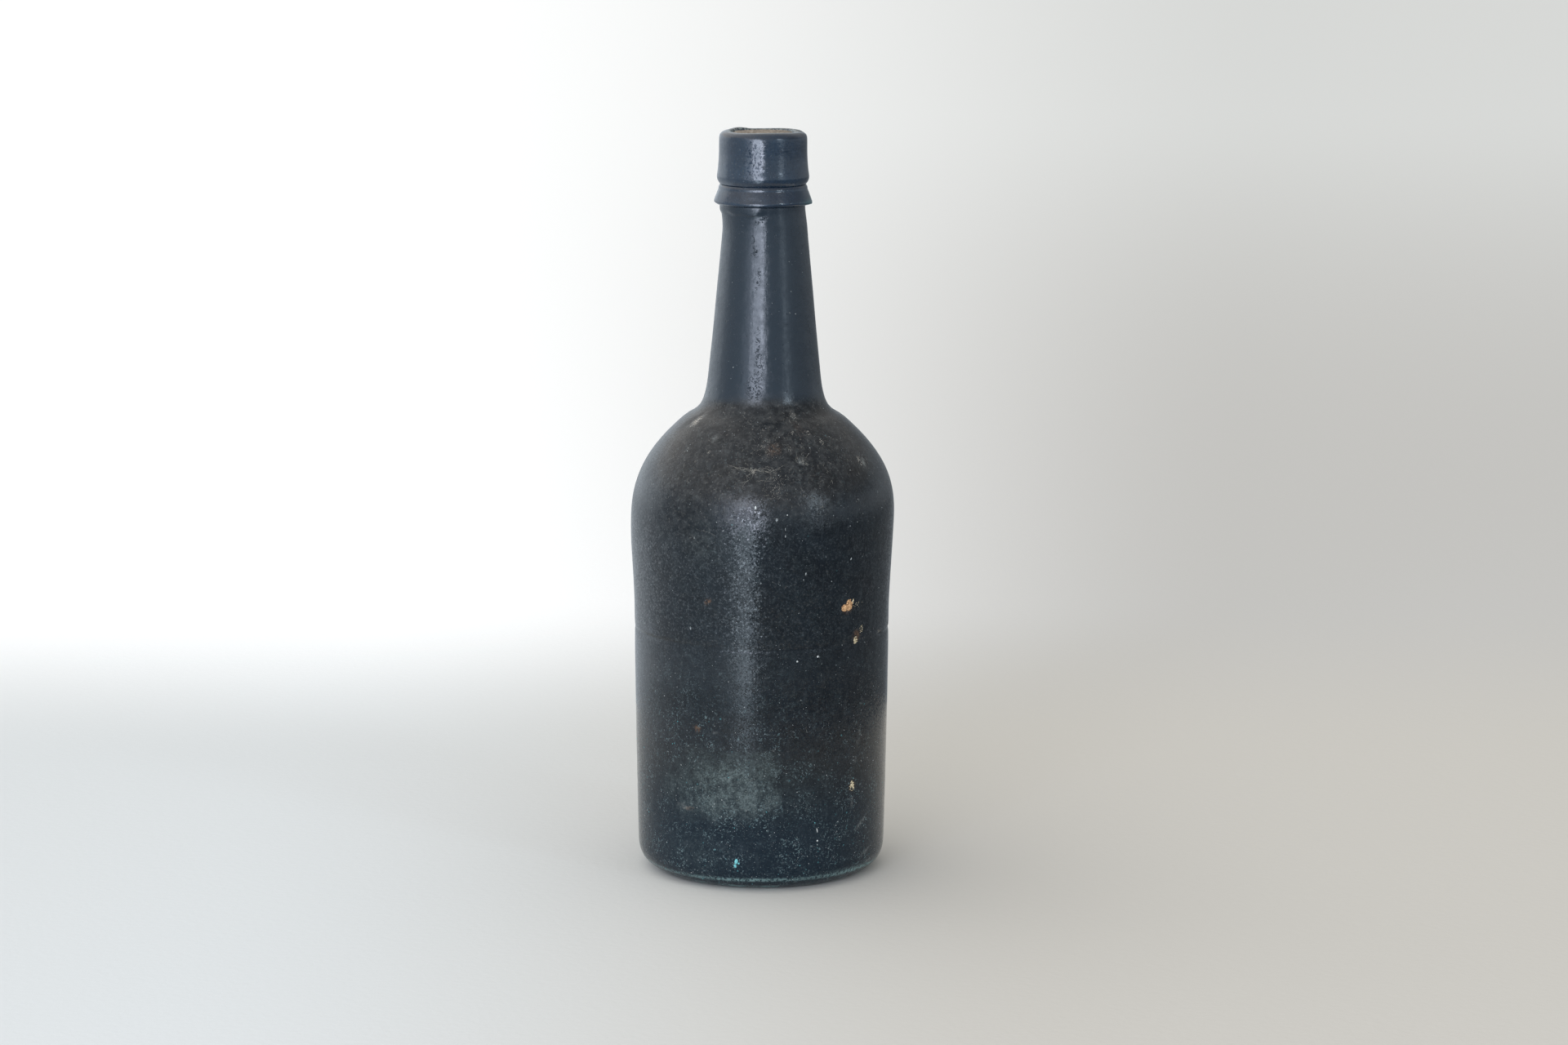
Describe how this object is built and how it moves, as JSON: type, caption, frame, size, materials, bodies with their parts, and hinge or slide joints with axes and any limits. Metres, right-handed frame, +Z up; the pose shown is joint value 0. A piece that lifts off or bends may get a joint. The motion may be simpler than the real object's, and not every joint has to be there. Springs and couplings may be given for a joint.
{
  "type": "corked glass bottle",
  "caption": "Squat black-glass bottle with a rounded shoulder, tapered neck, laid-on lip and string rim, closed by a cork.",
  "frame": {"origin": "centre of the base, on the surface that the bottle stands on", "axes": "+Z up along the bottle's axis, -Y towards the side that the picture shows"},
  "size_m": [0.0786, 0.0786, 0.222],
  "materials": {
    "black_glass": "mould-blown near-black glass, glossy on the neck, dulled and dusty on the body, no light passes through",
    "laid_on_glass": "fire-polished and tooled near-black glass, glossy, blue-green where it thins at an edge",
    "cork": "cut natural cork, weathered and soiled at the top"
  },
  "bodies": {
    "bottle": {"glass_body": "black_glass", "lip": "laid_on_glass", "string_rim": "laid_on_glass"},
    "cork": {"cork": "cork"}
  },
  "joints": [
    {"name": "cork_draw", "type": "slide", "parent": "bottle", "child": "cork", "axis": [0, 0, 1], "range_m": [0, 0.04]}
  ]
}
